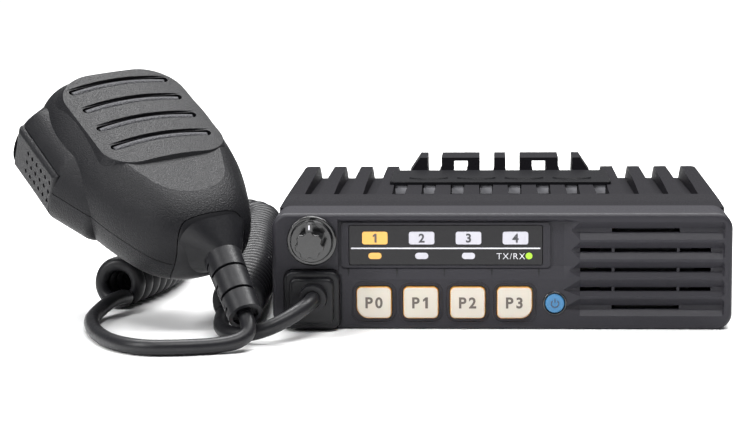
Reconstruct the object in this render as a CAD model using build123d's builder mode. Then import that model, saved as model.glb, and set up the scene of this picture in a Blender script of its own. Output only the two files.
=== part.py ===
from build123d import *
import os
from math import pi, radians, tan

# Compact four-channel mobile transceiver with its hand microphone on a curly cord.
# Frame: +X to the right of a person facing the front panel, +Y to the rear, +Z up.
# The origin is the centre of the radio's underside, so the whole object stands on z = 0.

os.makedirs("parts", exist_ok=True)

# ---------------------------------------------------------------- driving sizes, mm
width = 150.0  # across the front panel
height = 39.5  # over the fin tops
depth = 117.5  # front face to rear wall
fit_gap = 0.25  # a moving piece in its opening, each side
seat_gap = 0.05  # a fixed piece in its seat, each side

panel_height = 38.4
panel_depth = 18.0
panel_corner = 5.3
panel_wall = 2.2
panel_front_wall = 5.0
panel_rim_round = 1.6

field_depth = 2.0  # how far the display field lies behind the face
field_left = -53.3
field_right = 20.5
field_fade = 6.0  # length of the slope where the field runs out
field_top = 35.4
field_bottom = 20.8
bevel_drop = 4.1  # height of the light sloping strip under the display

window_width = 63.4
window_height = 13.3
window_centre = (-18.1, 27.75)
window_thickness = 1.5
bezel_margin = 2.4
bezel_rise = 0.7

lamp_pitch = 15.3
first_lamp_x = -41.2
tile_size = (8.35, 4.2)
tile_z = 30.1
pill_size = (4.3, 2.1)
pill_z = 24.2
status_lamp = (9.1, 24.2)
status_lamp_radius = 1.1

key_size = (11.5, 10.4)
key_pitch = 15.3
first_key_x = -41.5
key_z = 9.1
key_proud = 1.3
key_flange = 0.8
key_travel = 0.8
key_corner = 1.7
key_big_corner = 4.0
power_key_at = (17.5, 8.8)
power_key_radius = 3.1

grille_rows = (32.6, 26.1, 19.6, 13.2, 7.2)
grille_ridges = (36.0, 29.4, 23.0, 17.1, 10.8, 4.2)
grille_depth = 1.9
grille_left = 20.5
grille_right = 72.4
slot_height = 1.3
slot_left = 25.7
slot_right = 68.1
short_slot = (36.0, 58.0)
slot_rib = 0.9

speaker_at = (47.0, 19.6)
speaker_radius = 16.0
speaker_depth = 10.0

knob_at = (-61.7, 29.6)
knob_flange_radius = 8.15
knob_skirt_radius = 7.2
knob_grip_radius = 4.7
knob_flute_radius = 1.35
knob_flutes = 7
knob_pointer = 2.2
knob_length = 11.6
shaft_radius = 3.0
control_size = 12.6
control_depth = 8.0

jack_at = (-61.7, 10.4)
jack_size = (16.0, 11.2)
jack_depth = 14.0
plug_size = (11.7, 6.5)
plug_length = 15.0
boot_size = (18.0, 19.6)
boot_proud = 6.0
boot_recess = 0.8
boot_step = 2.2
boot_ledge = 1.8
collar_radius = 4.7
collar_length = 3.5

chassis_width = 147.8
chassis_wall = 2.4
rear_wall = 3.0
ceiling = 31.0
strip_height = 37.7
strip_depth = 12.0
fin_start = 20.0  # behind the front panel
fin_pitch = 10.0
channel_count = 14
channel_width = 4.3
channel_mouth = 6.0
channel_depths = (0.5, 3.3, 4.9)  # at the front, under the deck plate and at the rear
deck_start = 62.0
deck_length = 31.0
deck_thickness = 1.3
deck_width = 78.0
pad_count = 8
crest_height = 5.5
crest_bridge = 1.2  # thickness of the web that bridges a pair of crest fins
crest_start = 96.0
crest_length = 17.0
cover_thickness = 1.7

side_hole_radius = 1.65
side_hole_pitch = 30.0
side_hole_y = 4.0
side_hole_z = 19.0
side_boss = (5.0, 42.0, 14.0)

post_size = 8.0
screw_radius = 1.25
screw_clearance = 0.05
screw_head_radius = 2.8
board_bottom = 6.0
board_thickness = 1.6
board_size = (118.0, 86.0)
standoff_radius = 3.0
standoff_at = (50.0, 33.0)

antenna_at = (45.0, 19.0)
antenna_radius = 7.9
antenna_length = 14.0
antenna_bore = 5.6
dc_at = (-40.0, 17.0)
dc_size = (20.0, 12.0)
dc_wall = 1.8
jack_hole_at = (-9.0, 15.0)
jack_hole_radius = 1.8
jack_hole_length = 12.0

cord_radius = 2.5
coil_radius = 9.0

front = -depth / 2
rear = depth / 2
panel_back = front + panel_depth
top_mid = panel_height / 2


def facing(inset):
    """A plane parallel to the front face, that far behind it: sketch x is X and sketch y is Z."""
    return Plane(origin=(0, front + inset, 0), x_dir=(1, 0, 0), z_dir=(0, -1, 0))


pieces = {}

# ---------------------------------------------------------------- chassis: die-cast tub with fins
lamp_xs = [first_lamp_x + i * lamp_pitch for i in range(4)]
key_xs = [first_key_x + i * key_pitch for i in range(4)]
channel_xs = [(i - (channel_count - 1) / 2) * fin_pitch for i in range(channel_count)]
channel_stations = (
    (panel_back + fin_start, channel_depths[0], channel_width),
    (front + deck_start, channel_depths[1], (channel_width + channel_mouth) / 2),
    (rear + 1, channel_depths[2], channel_mouth),
)
with BuildPart() as channel:
    for y, channel_depth, mouth in channel_stations:
        with BuildSketch(Plane.XZ.offset(-y)):
            with BuildLine():
                Polyline(
                    (-channel_width / 2, height - channel_depth),
                    (channel_width / 2, height - channel_depth),
                    (mouth / 2, height + 1),
                    (-mouth / 2, height + 1),
                    close=True,
                )
            make_face()
    loft(ruled=True)

inner_width = chassis_width - 2 * chassis_wall
post_x = inner_width / 2 - post_size / 2
post_ys = (panel_back + post_size / 2 + 3, rear - rear_wall - post_size / 2)
posts = [(sx * post_x, y) for sx in (-1, 1) for y in post_ys]
board_y = 6.0
standoffs = [(sx * standoff_at[0], board_y + sy * standoff_at[1]) for sx in (-1, 1) for sy in (-1, 1)]
board_top = board_bottom + board_thickness
module_size = (32.0, 18.0, 6.4)
module_at = (-30.0, 26.0)
pad_thickness = 1.0
side_holes = [side_hole_y - side_hole_pitch / 2, side_hole_y + side_hole_pitch / 2]

with BuildPart() as chassis:
    with BuildSketch(Plane.YZ):
        with BuildLine():
            Polyline(
                (panel_back, cover_thickness),
                (panel_back, strip_height),
                (panel_back + strip_depth, strip_height + 0.5),
                (panel_back + fin_start, height),
                (rear, height),
                (rear, cover_thickness),
                close=True,
            )
        make_face()
    extrude(amount=chassis_width / 2, both=True)
    fillet(chassis.edges().filter_by(Axis.X).group_by(Axis.Y)[-1].sort_by(Axis.Z)[-1:], 3.5)
    fillet(chassis.edges().filter_by(Axis.Z).group_by(Axis.Y)[-1], 2.0)
    with Locations(*[(x, 0, 0) for x in channel_xs]):
        add(channel.part, mode=Mode.SUBTRACT)
    with BuildSketch(Plane.XY.offset(cover_thickness)):
        with Locations((0, (panel_back + rear - rear_wall) / 2)):
            Rectangle(inner_width, rear - rear_wall - panel_back)
    extrude(amount=ceiling - cover_thickness, mode=Mode.SUBTRACT)
    with BuildSketch(Plane.XY.offset(cover_thickness)):
        with Locations(*posts):
            Rectangle(post_size, post_size)
    extrude(amount=ceiling - cover_thickness + 0.5)
    with BuildSketch(Plane.XY.offset(board_top)):
        with Locations(*standoffs):
            Circle(standoff_radius)
    extrude(amount=ceiling - board_top + 0.5)
    with BuildSketch(Plane.XY.offset(board_top + module_size[2] + pad_thickness)):
        with Locations(module_at):
            Rectangle(module_size[0] + 4, module_size[1] + 4)
    extrude(amount=ceiling - board_top - module_size[2] - pad_thickness + 0.5)
    for side in (-1, 1):
        with Locations((side * (inner_width / 2 - side_boss[0] / 2), side_hole_y, side_hole_z)):
            Box(side_boss[0] + 0.2, side_boss[1], side_boss[2])
        with Locations(*[(side * inner_width / 2, y, side_hole_z) for y in side_holes]):
            Cylinder(side_hole_radius, 4 * side_boss[0], rotation=(0, 90, 0), mode=Mode.SUBTRACT)
    # raised rear ends of the seven middle fins, two pairs of them bridged over
    with BuildSketch(Plane.XZ.offset(-front - crest_start)):
        crest_base = height - 3
        crest_top = height + crest_height
        with Locations((0, (crest_base + crest_top) / 2)):
            Rectangle(4.2, crest_top - crest_base)
        for side in (-1, 1):
            with Locations((side * 14.4, (crest_base + crest_top) / 2)):
                Rectangle(14.0, crest_top - crest_base)
            with Locations((side * 14.4, (crest_base + crest_top - crest_bridge) / 2)):
                Rectangle(5.2, crest_top - crest_base - crest_bridge, mode=Mode.SUBTRACT)
            with BuildLine():
                Polyline(
                    (side * 26.4, crest_base),
                    (side * 26.6, crest_top),
                    (side * 29.4, crest_top),
                    (side * 33.2, height - 0.2),
                    (side * 33.2, crest_base),
                    close=True,
                )
            make_face()
    extrude(amount=-crest_length)
    # rear openings
    with BuildSketch(Plane.XZ.offset(-rear)):
        with Locations(antenna_at):
            Circle(antenna_bore + 1)
        with Locations(dc_at):
            Rectangle(dc_size[0] + 2 * seat_gap, dc_size[1] + 2 * seat_gap)
        with Locations(jack_hole_at):
            Circle(jack_hole_radius + 1.2 + seat_gap)
    extrude(amount=rear_wall + 1, mode=Mode.SUBTRACT)
    with Locations(*[(x, y, cover_thickness) for x, y in posts]):
        Hole(screw_radius + screw_clearance, 10)
    with Locations(*[(x, y, board_top) for x, y in standoffs]):
        Hole(screw_radius + screw_clearance, 8)
pieces["chassis"] = chassis

with BuildPart() as deck_plate:
    with BuildSketch(Plane.XY.offset(height)):
        with Locations((0, front + deck_start + deck_length / 2)):
            RectangleRounded(deck_width, deck_length, 1.5)
    extrude(amount=deck_thickness)
    chamfer(deck_plate.faces().sort_by(Axis.Z)[-1].edges(), 0.4)
    with BuildSketch(Plane.XY.offset(height + deck_thickness)):
        with Locations(*[(x, front + deck_start + 8) for x in (-25.5, -8.5, 8.5, 25.5)]):
            Ellipse(7.0, 4.5)
    extrude(amount=0.5, taper=35)
pieces["deck_plate"] = deck_plate


def channel_floor(inset):
    """Height of the channel floor at a distance behind the front face."""
    start = panel_depth + fin_start
    first, middle, last = channel_depths
    if inset < deck_start:
        return height - first - (middle - first) * (inset - start) / (deck_start - start)
    return height - middle - (last - middle) * (inset - deck_start) / (depth + 1 - deck_start)


# light grey gap pads that close the channel mouths under the deck plate's front edge
pad_length = 8.0
pad_start = deck_start + 0.6
with BuildPart() as gap_pads:
    for x in [(i - (pad_count - 1) / 2) * fin_pitch for i in range(pad_count)]:
        with BuildSketch(Plane.YZ.offset(x)):
            with BuildLine():
                Polyline(
                    (front + pad_start, channel_floor(pad_start) + seat_gap),
                    (front + pad_start, height - seat_gap),
                    (front + pad_start + pad_length, height - seat_gap),
                    (front + pad_start + pad_length, channel_floor(pad_start + pad_length) + seat_gap),
                    close=True,
                )
            make_face()
        extrude(amount=channel_width / 2 - 2 * seat_gap, both=True)
pieces["gap_pads"] = gap_pads

cover_length = depth - panel_depth - 1.0
cover_y = (panel_back + rear) / 2
with BuildPart() as bottom_cover:
    with BuildSketch():
        with Locations((0, cover_y)):
            RectangleRounded(chassis_width - 1.5, cover_length, 2.0)
    extrude(amount=cover_thickness)
    chamfer(bottom_cover.faces().sort_by(Axis.Z)[0].edges(), 0.4)
    with Locations(Plane.XY.rotated((180, 0, 0))):
        with Locations(*[(x, -y) for x, y in posts]):
            CounterSinkHole(screw_radius + 0.35, screw_head_radius + 0.1, cover_thickness + 1, 90)
pieces["bottom_cover"] = bottom_cover

with BuildPart() as cover_screws:
    for x, y in posts:
        with BuildSketch(Plane.XZ.offset(-y)):
            with BuildLine():
                Polyline(
                    (x, 0.1),
                    (x + screw_head_radius, 0.1),
                    (x + screw_radius, 0.1 + screw_head_radius - screw_radius),
                    (x + screw_radius, 9.0),
                    (x, 9.0),
                    close=True,
                )
            make_face()
        revolve(axis=Axis((x, y, 0), (0, 0, 1)))
        with Locations((x, y, 0.1)):
            Box(0.8, 3.0, 0.9, align=(Align.CENTER, Align.CENTER, Align.MIN), mode=Mode.SUBTRACT)
            Box(3.0, 0.8, 0.9, align=(Align.CENTER, Align.CENTER, Align.MIN), mode=Mode.SUBTRACT)
pieces["cover_screws"] = cover_screws

# ---------------------------------------------------------------- front panel
boot_centre = (jack_at[0], boot_size[1] / 2 + 0.4)
collar_at = (-61.0, 11.7)
tile_openings = [(x, tile_z) for x in lamp_xs]
pill_openings = [(x, pill_z) for x in lamp_xs[:3]]
guide_gap = 0.1


def field_outline(inset):
    """The display field's cut seen from the side, for one depth behind the face."""
    return (
        (front - 0.5, field_top + 1.25),
        (front + inset, field_top),
        (front + inset, field_bottom),
        (front - 0.5, field_bottom - bevel_drop * (1 + 0.5 / field_depth)),
    )


with BuildPart() as field_cut:
    field_stations = (
        (field_left, field_depth),
        (field_right, field_depth),
        (field_right + field_fade, -0.4),
    )
    for x, inset in field_stations:
        with BuildSketch(Plane.YZ.offset(x)):
            with BuildLine():
                Polyline(*field_outline(inset), close=True)
            make_face()
    loft(ruled=True)

louvre_stations = ((grille_left, 0.1), (slot_left, 1.0), (grille_right - 0.6, 1.0), (grille_right, 0.7))
louvres = []
for i, row in enumerate(grille_rows):
    above = grille_ridges[i] - 0.15
    below = grille_ridges[i + 1] + 0.15
    with BuildPart() as louvre:
        for x, share in louvre_stations:
            with BuildSketch(Plane.YZ.offset(x)):
                with BuildLine():
                    Polyline(
                        (front - 0.2, row + (above - row) * share),
                        (front + grille_depth * share, row + slot_height / 2 * share),
                        (front + grille_depth * share, row - slot_height / 2 * share),
                        (front - 0.2, row + (below - row) * share),
                        close=True,
                    )
                make_face()
        loft(ruled=True)
    louvres.append(louvre.part)

slot_spans = []
for i, row in enumerate(grille_rows):
    if i in (0, len(grille_rows) - 1):
        slot_spans.append((row, short_slot[0], short_slot[1]))
        continue
    slot_spans.append((row, slot_left, short_slot[0]))
    slot_spans.append((row, short_slot[0] + slot_rib, short_slot[1] - slot_rib))
    slot_spans.append((row, short_slot[1], slot_right))

flange_front = panel_front_wall + 0.1
flange_back = flange_front + key_flange
big_corner_side = {0: -1, 3: 1}  # the outer lower corners of the end keys are rounder
key_blanks = {}
for number, x in enumerate(key_xs):
    for gap in (0.0, fit_gap):
        with BuildPart() as blank:
            with BuildSketch(facing(-key_proud)) as key_outline:
                with Locations((x, key_z)):
                    Rectangle(key_size[0] + 2 * gap, key_size[1] + 2 * gap)
                side = big_corner_side.get(number, 0)
                corners = key_outline.vertices()
                big = [v for v in corners if side * (v.X - x) > 0 and v.Y < key_z]
                fillet([v for v in corners if v not in big], key_corner + gap)
                if big:
                    outer = key_outline.vertices().sort_by_distance((x + side * width, key_z - width))[0]
                    fillet(outer, key_big_corner + gap)
            extrude(amount=-(key_proud + flange_back))
        key_blanks[number, gap] = blank

with BuildPart() as front_panel:
    with BuildSketch(facing(0)):
        with Locations((0, top_mid)):
            RectangleRounded(width, panel_height, panel_corner)
    extrude(amount=-panel_depth)
    fillet(front_panel.faces().sort_by(Axis.Y)[0].edges(), panel_rim_round)
    with BuildSketch(facing(panel_front_wall)):
        with Locations((0, top_mid)):
            RectangleRounded(
                width - 2 * panel_wall, panel_height - 2 * panel_wall, panel_corner - panel_wall
            )
    extrude(amount=-panel_depth, mode=Mode.SUBTRACT)
    add(field_cut.part, mode=Mode.SUBTRACT)
    for louvre_part in louvres:
        add(louvre_part, mode=Mode.SUBTRACT)
    with BuildSketch(facing(field_depth + 0.5)):
        with Locations(window_centre):
            RectangleRounded(window_width + 2 * bezel_margin, window_height + 1.6, 1.2)
    extrude(amount=bezel_rise + 0.5)
    with BuildSketch(facing(field_depth - bezel_rise + 0.2 + window_thickness)):
        with Locations(window_centre):
            RectangleRounded(window_width + 2 * seat_gap, window_height + 2 * seat_gap, 0.8)
    extrude(amount=window_thickness + 1, mode=Mode.SUBTRACT)
    with BuildSketch(facing(0)):
        with Locations(*tile_openings):
            RectangleRounded(tile_size[0] + 2 * guide_gap, tile_size[1] + 2 * guide_gap, 0.8)
        with Locations(*pill_openings):
            SlotOverall(pill_size[0] + 2 * guide_gap, pill_size[1] + 2 * guide_gap)
        with Locations(status_lamp):
            Circle(status_lamp_radius + guide_gap)
        for row, left, right in slot_spans:
            with Locations(((left + right) / 2, row)):
                Rectangle(right - left, slot_height)
        with Locations(power_key_at):
            Circle(power_key_radius + fit_gap)
        with Locations(knob_at):
            Circle(shaft_radius + 2 * fit_gap)
        with Locations(jack_at):
            Rectangle(plug_size[0] + 1.0, plug_size[1] + 1.0)
    extrude(amount=-panel_depth, mode=Mode.SUBTRACT)
    with BuildSketch(facing(boot_recess)):
        with Locations(boot_centre):
            RectangleRounded(boot_size[0] + 1.2, boot_size[1] + 0.8 - 2 * fit_gap, 3.0)
    extrude(amount=boot_recess + 1, mode=Mode.SUBTRACT)
    for number in range(len(key_xs)):
        add(key_blanks[number, fit_gap].part, mode=Mode.SUBTRACT)
pieces["front_panel"] = front_panel

gasket_thickness = 0.6
with BuildPart() as panel_gasket:
    with BuildSketch(facing(panel_depth - gasket_thickness)):
        with Locations((0, top_mid)):
            RectangleRounded(
                width - 2 * panel_wall - 0.2, panel_height - 2 * panel_wall - 0.2, panel_corner - panel_wall
            )
            RectangleRounded(
                width - 2 * panel_wall - 5, panel_height - 2 * panel_wall - 5, 1.0, mode=Mode.SUBTRACT
            )
    extrude(amount=-gasket_thickness)
pieces["panel_gasket"] = panel_gasket

window_front = field_depth - bezel_rise + 0.2
with BuildPart() as display_window:
    with BuildSketch(facing(window_front)):
        with Locations(window_centre):
            RectangleRounded(window_width, window_height, 0.75)
    extrude(amount=-window_thickness)
    chamfer(display_window.faces().sort_by(Axis.Y)[0].edges(), 0.2)
pieces["display_window"] = display_window

guide_front = window_front + window_thickness + 0.05
guide_back = 8.0
with BuildPart() as channel_lamps:
    with BuildSketch(facing(guide_front)):
        with Locations(*tile_openings):
            RectangleRounded(tile_size[0], tile_size[1], 0.7)
    extrude(amount=guide_front - guide_back)
pieces["channel_lamps"] = channel_lamps

with BuildPart() as status_lamps:
    with BuildSketch(facing(guide_front)):
        with Locations(*pill_openings):
            SlotOverall(pill_size[0], pill_size[1])
        with Locations(status_lamp):
            Circle(status_lamp_radius)
    extrude(amount=guide_front - guide_back)
pieces["status_lamps"] = status_lamps

# ---------------------------------------------------------------- keys
for number, x in enumerate(key_xs):
    with BuildPart() as key:
        add(key_blanks[number, 0.0].part)
        fillet(key.faces().sort_by(Axis.Y)[0].edges(), 0.6)
        with BuildSketch(facing(flange_front)):
            with Locations((x, key_z)):
                RectangleRounded(key_size[0] + 1.6, key_size[1] + 1.6, key_corner)
        extrude(amount=-key_flange)
    pieces[f"key_p{number}"] = key

with BuildPart() as power_key:
    with BuildSketch(facing(-0.8)):
        with Locations(power_key_at):
            Circle(power_key_radius)
    extrude(amount=-(0.8 + flange_back))
    fillet(power_key.faces().sort_by(Axis.Y)[0].edges(), 0.5)
    with BuildSketch(facing(flange_front)):
        with Locations(power_key_at):
            Circle(power_key_radius + 0.8)
    extrude(amount=-key_flange)
pieces["power_key"] = power_key

mat_front = flange_back + key_travel + 0.3
mat_thickness = 0.8
with BuildPart() as key_mat:
    mat_left = key_xs[0] - key_size[0] / 2 - 1.5
    mat_right = power_key_at[0] + power_key_radius + 1.0
    with BuildSketch(facing(mat_front)):
        with Locations(((mat_left + mat_right) / 2, key_z)):
            RectangleRounded(mat_right - mat_left, key_size[1] + 2.6, 1.0)
    extrude(amount=-mat_thickness)
pieces["key_mat"] = key_mat

front_board_front = mat_front + mat_thickness + 0.9
with BuildPart() as key_switches:
    with BuildSketch(facing(front_board_front)):
        with Locations(*[(x, key_z) for x in key_xs], power_key_at):
            Rectangle(4.5, 4.5)
    extrude(amount=0.5)
    with BuildSketch(facing(front_board_front)):
        with Locations(*[(x, key_z) for x in key_xs], power_key_at):
            Circle(1.2)
    extrude(amount=0.8)
pieces["key_switches"] = key_switches

with BuildPart() as channel_leds:
    with BuildSketch(facing(front_board_front)):
        with Locations(*tile_openings, *pill_openings, status_lamp):
            Rectangle(1.6, 1.2)
    extrude(amount=0.6)
pieces["channel_leds"] = channel_leds

with BuildPart() as front_board:
    with BuildSketch(facing(front_board_front)):
        with Locations(((mat_left + mat_right) / 2 + 1.0, top_mid)):
            Rectangle(mat_right - mat_left + 2, panel_height - 2 * panel_wall - 1.5)
    extrude(amount=-board_thickness)
pieces["front_board"] = front_board

# ---------------------------------------------------------------- volume knob and control
control_front = panel_front_wall + 0.2
with BuildPart() as volume_control:
    with BuildSketch(facing(control_front)):
        with Locations(knob_at):
            Rectangle(control_size, control_size)
            Circle(shaft_radius + 0.05, mode=Mode.SUBTRACT)
    extrude(amount=-control_depth)
pieces["volume_control"] = volume_control

with BuildPart() as volume_shaft:
    with BuildSketch(facing(-6.0)):
        with Locations(knob_at):
            Circle(shaft_radius)
    extrude(amount=-(6.0 + control_front + control_depth - 0.5))
pieces["volume_shaft"] = volume_shaft

with BuildPart() as volume_knob:
    with BuildSketch(facing(-0.4)):
        with Locations(knob_at):
            Circle(knob_flange_radius)
    extrude(amount=1.3)
    fillet(volume_knob.faces().sort_by(Axis.Y)[0].edges(), 0.5)
    with BuildSketch(facing(-1.6)):
        with Locations(knob_at):
            Circle(knob_skirt_radius)
    extrude(amount=1.8, taper=20)
    with BuildSketch(facing(-3.0)) as grip_outline:
        with Locations(knob_at):
            Circle(knob_grip_radius)
            with PolarLocations(knob_grip_radius + 0.6, knob_flutes, start_angle=90 + 180 / knob_flutes):
                Circle(knob_flute_radius, mode=Mode.SUBTRACT)
        fillet(grip_outline.vertices(), 0.45)
    extrude(amount=knob_length - 3.0)
    fillet(volume_knob.faces().sort_by(Axis.Y)[0].edges(), 0.35)
    with BuildSketch(facing(-3.0)):
        with Locations((knob_at[0], knob_at[1] + knob_skirt_radius / 2)):
            RectangleRounded(knob_pointer, knob_skirt_radius - 0.4, 0.6)
    extrude(amount=knob_length - 3.6)
    with BuildSketch(facing(-0.4)):
        with Locations(knob_at):
            Circle(shaft_radius)
    extrude(amount=5.6, mode=Mode.SUBTRACT)
pieces["volume_knob"] = volume_knob

# ---------------------------------------------------------------- speaker
felt_front = panel_front_wall + 0.05
felt_thickness = 0.6
speaker_front = felt_front + felt_thickness
with BuildPart() as speaker_felt:
    with BuildSketch(facing(felt_front)):
        with Locations(speaker_at):
            Circle(speaker_radius)
    extrude(amount=-felt_thickness)
pieces["speaker_felt"] = speaker_felt

with BuildPart() as speaker_frame:
    with BuildSketch(facing(speaker_front)):
        with Locations(speaker_at):
            Circle(speaker_radius)
            Circle(speaker_radius - 2, mode=Mode.SUBTRACT)
    extrude(amount=-1.2)
    with BuildSketch(facing(speaker_front + 1.2)):
        with Locations(speaker_at):
            Circle(speaker_radius - 1)
            Circle(speaker_radius - 2, mode=Mode.SUBTRACT)
    extrude(amount=-3.8)
    with BuildSketch(facing(speaker_front + 5.0)):
        with Locations(speaker_at):
            Circle(speaker_radius - 1)
    extrude(amount=-1.0)
    with BuildSketch(facing(speaker_front + 6.0)):
        with Locations(speaker_at):
            Circle(speaker_radius * 0.6)
    extrude(amount=-(speaker_depth - 6.0))
pieces["speaker_frame"] = speaker_frame

with BuildPart() as speaker_cone:
    with BuildSketch(Plane.YZ.offset(speaker_at[0])):
        with BuildLine():
            rim = front + speaker_front + 0.4
            Polyline(
                (rim, speaker_at[1] + speaker_radius - 2.2),
                (rim + 0.4, speaker_at[1] + speaker_radius - 2.2),
                (rim + 3.4, speaker_at[1] + 4.0),
                (rim + 3.4, speaker_at[1]),
                (rim + 2.8, speaker_at[1]),
                (rim + 2.8, speaker_at[1] + 4.0),
                close=True,
            )
        make_face()
    revolve(axis=Axis((speaker_at[0], 0, speaker_at[1]), (0, 1, 0)))
pieces["speaker_cone"] = speaker_cone

# ---------------------------------------------------------------- microphone jack
jack_front = panel_front_wall + 0.1
with BuildPart() as mic_jack:
    with BuildSketch(facing(jack_front)):
        with Locations(jack_at):
            Rectangle(*jack_size)
            Rectangle(plug_size[0] + 2 * fit_gap, plug_size[1] + 2 * fit_gap, mode=Mode.SUBTRACT)
    extrude(amount=-jack_depth)
    with BuildSketch(facing(jack_front + jack_depth)):
        with Locations(jack_at):
            Rectangle(*jack_size)
    extrude(amount=-1.2)
pieces["mic_jack"] = mic_jack

# ---------------------------------------------------------------- boards inside the chassis
with BuildPart() as main_board:
    with BuildSketch(Plane.XY.offset(board_bottom)):
        with Locations((0, board_y)):
            Rectangle(*board_size)
        with Locations(*standoffs):
            Circle(screw_radius + 0.35, mode=Mode.SUBTRACT)
    extrude(amount=board_thickness)
pieces["main_board"] = main_board

with BuildPart() as board_screws:
    with BuildSketch(Plane.XY.offset(board_bottom)):
        with Locations(*standoffs):
            Circle(screw_head_radius)
    extrude(amount=-1.6)
    with BuildSketch(Plane.XY.offset(board_bottom - 0.5)):
        with Locations(*standoffs):
            Circle(screw_radius)
    extrude(amount=8.0)
pieces["board_screws"] = board_screws

with BuildPart() as power_module:
    with BuildSketch(Plane.XY.offset(board_top)):
        with Locations(module_at):
            RectangleRounded(module_size[0], module_size[1], 1.0)
    extrude(amount=module_size[2])
pieces["power_module"] = power_module

with BuildPart() as thermal_pad:
    with BuildSketch(Plane.XY.offset(board_top + module_size[2])):
        with Locations(module_at):
            Rectangle(module_size[0] - 2, module_size[1] - 2)
    extrude(amount=pad_thickness)
pieces["thermal_pad"] = thermal_pad

can_height = 7.0
with BuildPart() as shield_can:
    with BuildSketch(Plane.XY.offset(board_top)):
        with Locations((24, 0)):
            RectangleRounded(38, 40, 1.0)
    extrude(amount=can_height)
    with BuildSketch(Plane.XY.offset(board_top)):
        with Locations((24, 0)):
            RectangleRounded(37, 39, 0.6)
    extrude(amount=can_height - 0.5, mode=Mode.SUBTRACT)
pieces["shield_can"] = shield_can

cable_start = front + front_board_front + board_thickness
cable_end = board_y - board_size[1] / 2 + 6
cable_top = 13.0
with BuildPart() as ribbon_cable:
    with BuildSketch(Plane.YZ.offset(-15)):
        with BuildLine():
            Polyline(
                (cable_start, cable_top),
                (cable_end, cable_top),
                (cable_end, board_top),
                (cable_end - 0.6, board_top),
                (cable_end - 0.6, cable_top - 0.6),
                (cable_start, cable_top - 0.6),
                close=True,
            )
        make_face()
    extrude(amount=9, both=True)
pieces["ribbon_cable"] = ribbon_cable

# ---------------------------------------------------------------- rear sockets
flange_thickness = 2.0
with BuildPart() as antenna_socket:
    with BuildSketch(Plane.XZ.offset(-rear)):
        with Locations(antenna_at):
            RectangleRounded(22, 22, 2)
    extrude(amount=-flange_thickness)
    with BuildSketch(Plane.XZ.offset(-rear - flange_thickness)):
        with Locations(antenna_at):
            Circle(antenna_radius)
    extrude(amount=-antenna_length)
    with BuildSketch(Plane.XZ.offset(-rear)):
        with Locations(antenna_at):
            Circle(antenna_bore + 0.9)
    extrude(amount=rear_wall + 2)
    with BuildSketch(Plane.XZ.offset(-rear - flange_thickness - antenna_length)):
        with Locations(antenna_at):
            Circle(antenna_bore)
    extrude(amount=antenna_length + flange_thickness + rear_wall + 3, mode=Mode.SUBTRACT)
pieces["antenna_socket"] = antenna_socket

with BuildPart() as antenna_contact:
    with BuildSketch(Plane.XZ.offset(-rear + rear_wall + 2)):
        with Locations(antenna_at):
            Circle(antenna_bore)
    extrude(amount=-(rear_wall + 2 + 8.0))
    with BuildSketch(Plane.XZ.offset(-rear - 8.0)):
        with Locations(antenna_at):
            Circle(2.6)
    extrude(amount=-5.0)
    with BuildSketch(Plane.XZ.offset(-rear - 13.0)):
        with Locations(antenna_at):
            Circle(1.95)
    extrude(amount=10.0, mode=Mode.SUBTRACT)
pieces["antenna_contact"] = antenna_contact

dc_depth = 14.0
with BuildPart() as dc_socket:
    with BuildSketch(Plane.XZ.offset(-rear)):
        with Locations(dc_at):
            RectangleRounded(dc_size[0] + 3, dc_size[1] + 3, 1.5)
    extrude(amount=-2.0)
    with BuildSketch(Plane.XZ.offset(-rear)):
        with Locations(dc_at):
            Rectangle(*dc_size)
    extrude(amount=dc_depth)
    with BuildSketch(Plane.XZ.offset(-rear - 2.0)):
        with Locations(dc_at):
            Rectangle(dc_size[0] - 2 * dc_wall, dc_size[1] - 2 * dc_wall)
    extrude(amount=dc_depth, mode=Mode.SUBTRACT)
pieces["dc_socket"] = dc_socket

with BuildPart() as dc_pins:
    with BuildSketch(Plane.XZ.offset(-rear + dc_depth - 2.0)):
        with Locations(*[(dc_at[0] + side * 5.2, dc_at[1]) for side in (-1, 1)]):
            Rectangle(1.0, 5.0)
    extrude(amount=-3.5)
pieces["dc_pins"] = dc_pins

with BuildPart() as speaker_jack:
    with BuildSketch(Plane.XZ.offset(-rear)):
        with Locations(jack_hole_at):
            RegularPolygon(4.6, 6)
    extrude(amount=-1.6)
    with BuildSketch(Plane.XZ.offset(-rear - 1.6)):
        with Locations(jack_hole_at):
            Circle(jack_hole_radius + 1.2)
    extrude(amount=jack_hole_length + 1.5)
    with BuildSketch(Plane.XZ.offset(-rear - 1.6)):
        with Locations(jack_hole_at):
            Circle(jack_hole_radius)
    extrude(amount=jack_hole_length, mode=Mode.SUBTRACT)
pieces["speaker_jack"] = speaker_jack

# ---------------------------------------------------------------- microphone plug in its jack
plug_front = boot_recess - 0.3
with BuildPart() as mic_plug:
    with BuildSketch(facing(plug_front)):
        with Locations(jack_at):
            Rectangle(*plug_size)
    extrude(amount=-plug_length)
    with BuildSketch(facing(plug_front + plug_length)):
        with Locations((jack_at[0], jack_at[1] + plug_size[1] / 2 - 0.5)):
            with GridLocations(1.02, 1, 8, 1):
                Rectangle(0.4, 1.2)
    extrude(amount=6.0, mode=Mode.SUBTRACT)
pieces["mic_plug"] = mic_plug

with BuildPart() as plug_contacts:
    with BuildSketch(facing(plug_front + plug_length - 0.3)):
        with Locations((jack_at[0], jack_at[1] + plug_size[1] / 2 - 0.7)):
            with GridLocations(1.02, 1, 8, 1):
                Rectangle(0.3, 0.7)
    extrude(amount=5.5)
pieces["plug_contacts"] = plug_contacts

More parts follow.
